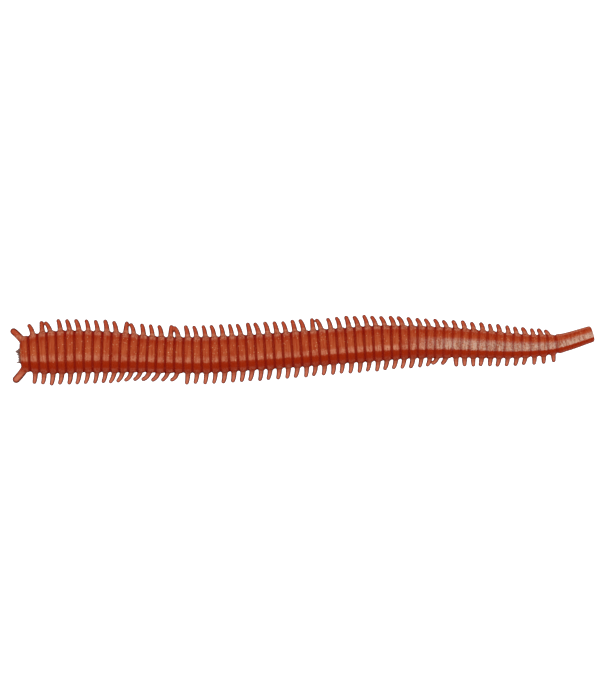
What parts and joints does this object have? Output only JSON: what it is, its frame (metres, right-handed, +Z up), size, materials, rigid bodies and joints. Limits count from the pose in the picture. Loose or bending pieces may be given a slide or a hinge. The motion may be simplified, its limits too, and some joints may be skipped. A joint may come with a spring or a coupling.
{
  "type": "soft plastic worm lure",
  "caption": "Soft plastic ragworm fishing lure with a ringed body, a leg on each side of each ring, two feelers and a plain tail; it bends sideways and up.",
  "frame": {"origin": "bottom centre of the bounding box, on the surface that the flat belly lies on", "axes": "+X from head to tail, +Y to the worm's own right side, +Z up from the belly to the back"},
  "size_m": [0.1508, 0.017, 0.0067],
  "materials": {
    "body_plastic": "glossy soft PVC",
    "leg_plastic": "glossy soft PVC",
    "feeler_plastic": "glossy soft PVC",
    "flash_plastic": "thin dull flash"
  },
  "bodies": {
    "head": {"head": "body_plastic", "head_left_legs": "leg_plastic", "head_right_legs": "leg_plastic", "nose_flash": "flash_plastic"},
    "section_01": {"section_01": "body_plastic", "section_01_left_legs": "leg_plastic", "section_01_right_legs": "leg_plastic"},
    "section_02": {"section_02": "body_plastic", "section_02_left_legs": "leg_plastic", "section_02_right_legs": "leg_plastic"},
    "section_03": {"section_03": "body_plastic", "section_03_left_legs": "leg_plastic", "section_03_right_legs": "leg_plastic"},
    "section_04": {"section_04": "body_plastic", "section_04_left_legs": "leg_plastic", "section_04_right_legs": "leg_plastic"},
    "section_05": {"section_05": "body_plastic", "section_05_left_legs": "leg_plastic", "section_05_right_legs": "leg_plastic"},
    "section_06": {"section_06": "body_plastic", "section_06_left_legs": "leg_plastic", "section_06_right_legs": "leg_plastic"},
    "section_07": {"section_07": "body_plastic", "section_07_left_legs": "leg_plastic", "section_07_right_legs": "leg_plastic"},
    "section_08": {"section_08": "body_plastic", "section_08_left_legs": "leg_plastic", "section_08_right_legs": "leg_plastic"},
    "section_09": {"section_09": "body_plastic", "section_09_left_legs": "leg_plastic", "section_09_right_legs": "leg_plastic"},
    "section_10": {"section_10": "body_plastic", "section_10_left_legs": "leg_plastic", "section_10_right_legs": "leg_plastic"},
    "section_11": {"section_11": "body_plastic", "section_11_left_legs": "leg_plastic", "section_11_right_legs": "leg_plastic"},
    "section_12": {"section_12": "body_plastic", "section_12_left_legs": "leg_plastic", "section_12_right_legs": "leg_plastic"},
    "section_13": {"section_13": "body_plastic", "section_13_left_legs": "leg_plastic", "section_13_right_legs": "leg_plastic"},
    "section_14": {"section_14": "body_plastic", "section_14_left_legs": "leg_plastic", "section_14_right_legs": "leg_plastic"},
    "tail": {"tail": "body_plastic"},
    "right_feeler": {"right_feeler": "feeler_plastic"},
    "left_feeler": {"left_feeler": "feeler_plastic"}
  },
  "joints": [
    {"name": "sway_01", "type": "hinge", "parent": "head", "child": "section_01", "pos_m": [-0.0632, -0.0004, 0.00303], "axis": [0, 0, 1], "range_deg": [-25, 25], "stiffness_Nm_per_rad": 0.0067, "deforming": ["section_01_left_legs", "section_01_right_legs", "head_left_legs", "head_right_legs"]},
    {"name": "lift_02", "type": "hinge", "parent": "section_01", "child": "section_02", "pos_m": [-0.05389, -0.00025, 0.00308], "axis": [-0.0128, -0.9999, 0], "range_deg": [-25, 25], "stiffness_Nm_per_rad": 0.0028, "deforming": ["section_02_left_legs", "section_02_right_legs"]},
    {"name": "sway_03", "type": "hinge", "parent": "section_02", "child": "section_03", "pos_m": [-0.04457, -0.00058, 0.00307], "axis": [0, 0, 1], "range_deg": [-25, 25], "stiffness_Nm_per_rad": 0.0053, "deforming": ["section_03_left_legs", "section_03_right_legs"]},
    {"name": "lift_04", "type": "hinge", "parent": "section_03", "child": "section_04", "pos_m": [-0.03526, -0.00105, 0.00303], "axis": [-0.0354, -0.9994, 0], "range_deg": [-25, 25], "stiffness_Nm_per_rad": 0.0023, "deforming": ["section_04_left_legs", "section_04_right_legs"]},
    {"name": "sway_05", "type": "hinge", "parent": "section_04", "child": "section_05", "pos_m": [-0.02595, -0.0011, 0.00303], "axis": [0, 0, 1], "range_deg": [-25, 25], "stiffness_Nm_per_rad": 0.0042, "deforming": ["section_05_left_legs", "section_05_right_legs"]},
    {"name": "lift_06", "type": "hinge", "parent": "section_05", "child": "section_06", "pos_m": [-0.01664, -0.00068, 0.00302], "axis": [0.0596, -0.9982, 0], "range_deg": [-25, 25], "stiffness_Nm_per_rad": 0.0023, "deforming": ["section_06_left_legs", "section_06_right_legs"]},
    {"name": "sway_07", "type": "hinge", "parent": "section_06", "child": "section_07", "pos_m": [-0.00733, -0.0001, 0.00301], "axis": [0, 0, 1], "range_deg": [-25, 25], "stiffness_Nm_per_rad": 0.0041, "deforming": ["section_07_left_legs", "section_07_right_legs"]},
    {"name": "lift_08", "type": "hinge", "parent": "section_07", "child": "section_08", "pos_m": [0.00196, 0.00059, 0.003], "axis": [0.0809, -0.9967, 0], "range_deg": [-25, 25], "stiffness_Nm_per_rad": 0.0022, "deforming": ["section_08_left_legs", "section_08_right_legs"]},
    {"name": "sway_09", "type": "hinge", "parent": "section_08", "child": "section_09", "pos_m": [0.01125, 0.00135, 0.00299], "axis": [0, 0, 1], "range_deg": [-25, 25], "stiffness_Nm_per_rad": 0.0041, "deforming": ["section_09_left_legs", "section_09_right_legs"]},
    {"name": "lift_10", "type": "hinge", "parent": "section_09", "child": "section_10", "pos_m": [0.02055, 0.00192, 0.00293], "axis": [0.0449, -0.999, 0], "range_deg": [-25, 25], "stiffness_Nm_per_rad": 0.002, "deforming": ["section_10_left_legs", "section_10_right_legs"]},
    {"name": "sway_11", "type": "hinge", "parent": "section_10", "child": "section_11", "pos_m": [0.0296, 0.00216, 0.00277], "axis": [0, 0, 1], "range_deg": [-25, 25], "stiffness_Nm_per_rad": 0.0029, "deforming": ["section_11_left_legs", "section_11_right_legs"]},
    {"name": "lift_12", "type": "hinge", "parent": "section_11", "child": "section_12", "pos_m": [0.03856, 0.00202, 0.00258], "axis": [-0.035, -0.9994, 0], "range_deg": [-25, 25], "stiffness_Nm_per_rad": 0.0012, "deforming": ["section_12_left_legs", "section_12_right_legs"]},
    {"name": "sway_13", "type": "hinge", "parent": "section_12", "child": "section_13", "pos_m": [0.04751, 0.00158, 0.00238], "axis": [0, 0, 1], "range_deg": [-25, 25], "stiffness_Nm_per_rad": 0.0015, "deforming": ["section_13_left_legs", "section_13_right_legs"]},
    {"name": "lift_14", "type": "hinge", "parent": "section_13", "child": "section_14", "pos_m": [0.05646, 0.00121, 0.00212], "axis": [-0.0165, -0.9999, 0], "range_deg": [-25, 25], "stiffness_Nm_per_rad": 0.00052, "deforming": ["section_14_left_legs", "section_14_right_legs"]},
    {"name": "sway_15", "type": "hinge", "parent": "section_14", "child": "tail", "pos_m": [0.06539, 0.00168, 0.00184], "axis": [0, 0, 1], "range_deg": [-25, 25], "stiffness_Nm_per_rad": 0.00041},
    {"name": "right_feeler_bend", "type": "hinge", "parent": "head", "child": "right_feeler", "pos_m": [-0.07175, 0.00211, 0.00257], "axis": [0, 0, 1], "range_deg": [-20, 20], "stiffness_Nm_per_rad": 0.000038},
    {"name": "left_feeler_bend", "type": "hinge", "parent": "head", "child": "left_feeler", "pos_m": [-0.07128, -0.00427, 0.00257], "axis": [0, 0, 1], "range_deg": [-20, 20], "stiffness_Nm_per_rad": 0.000055}
  ]
}
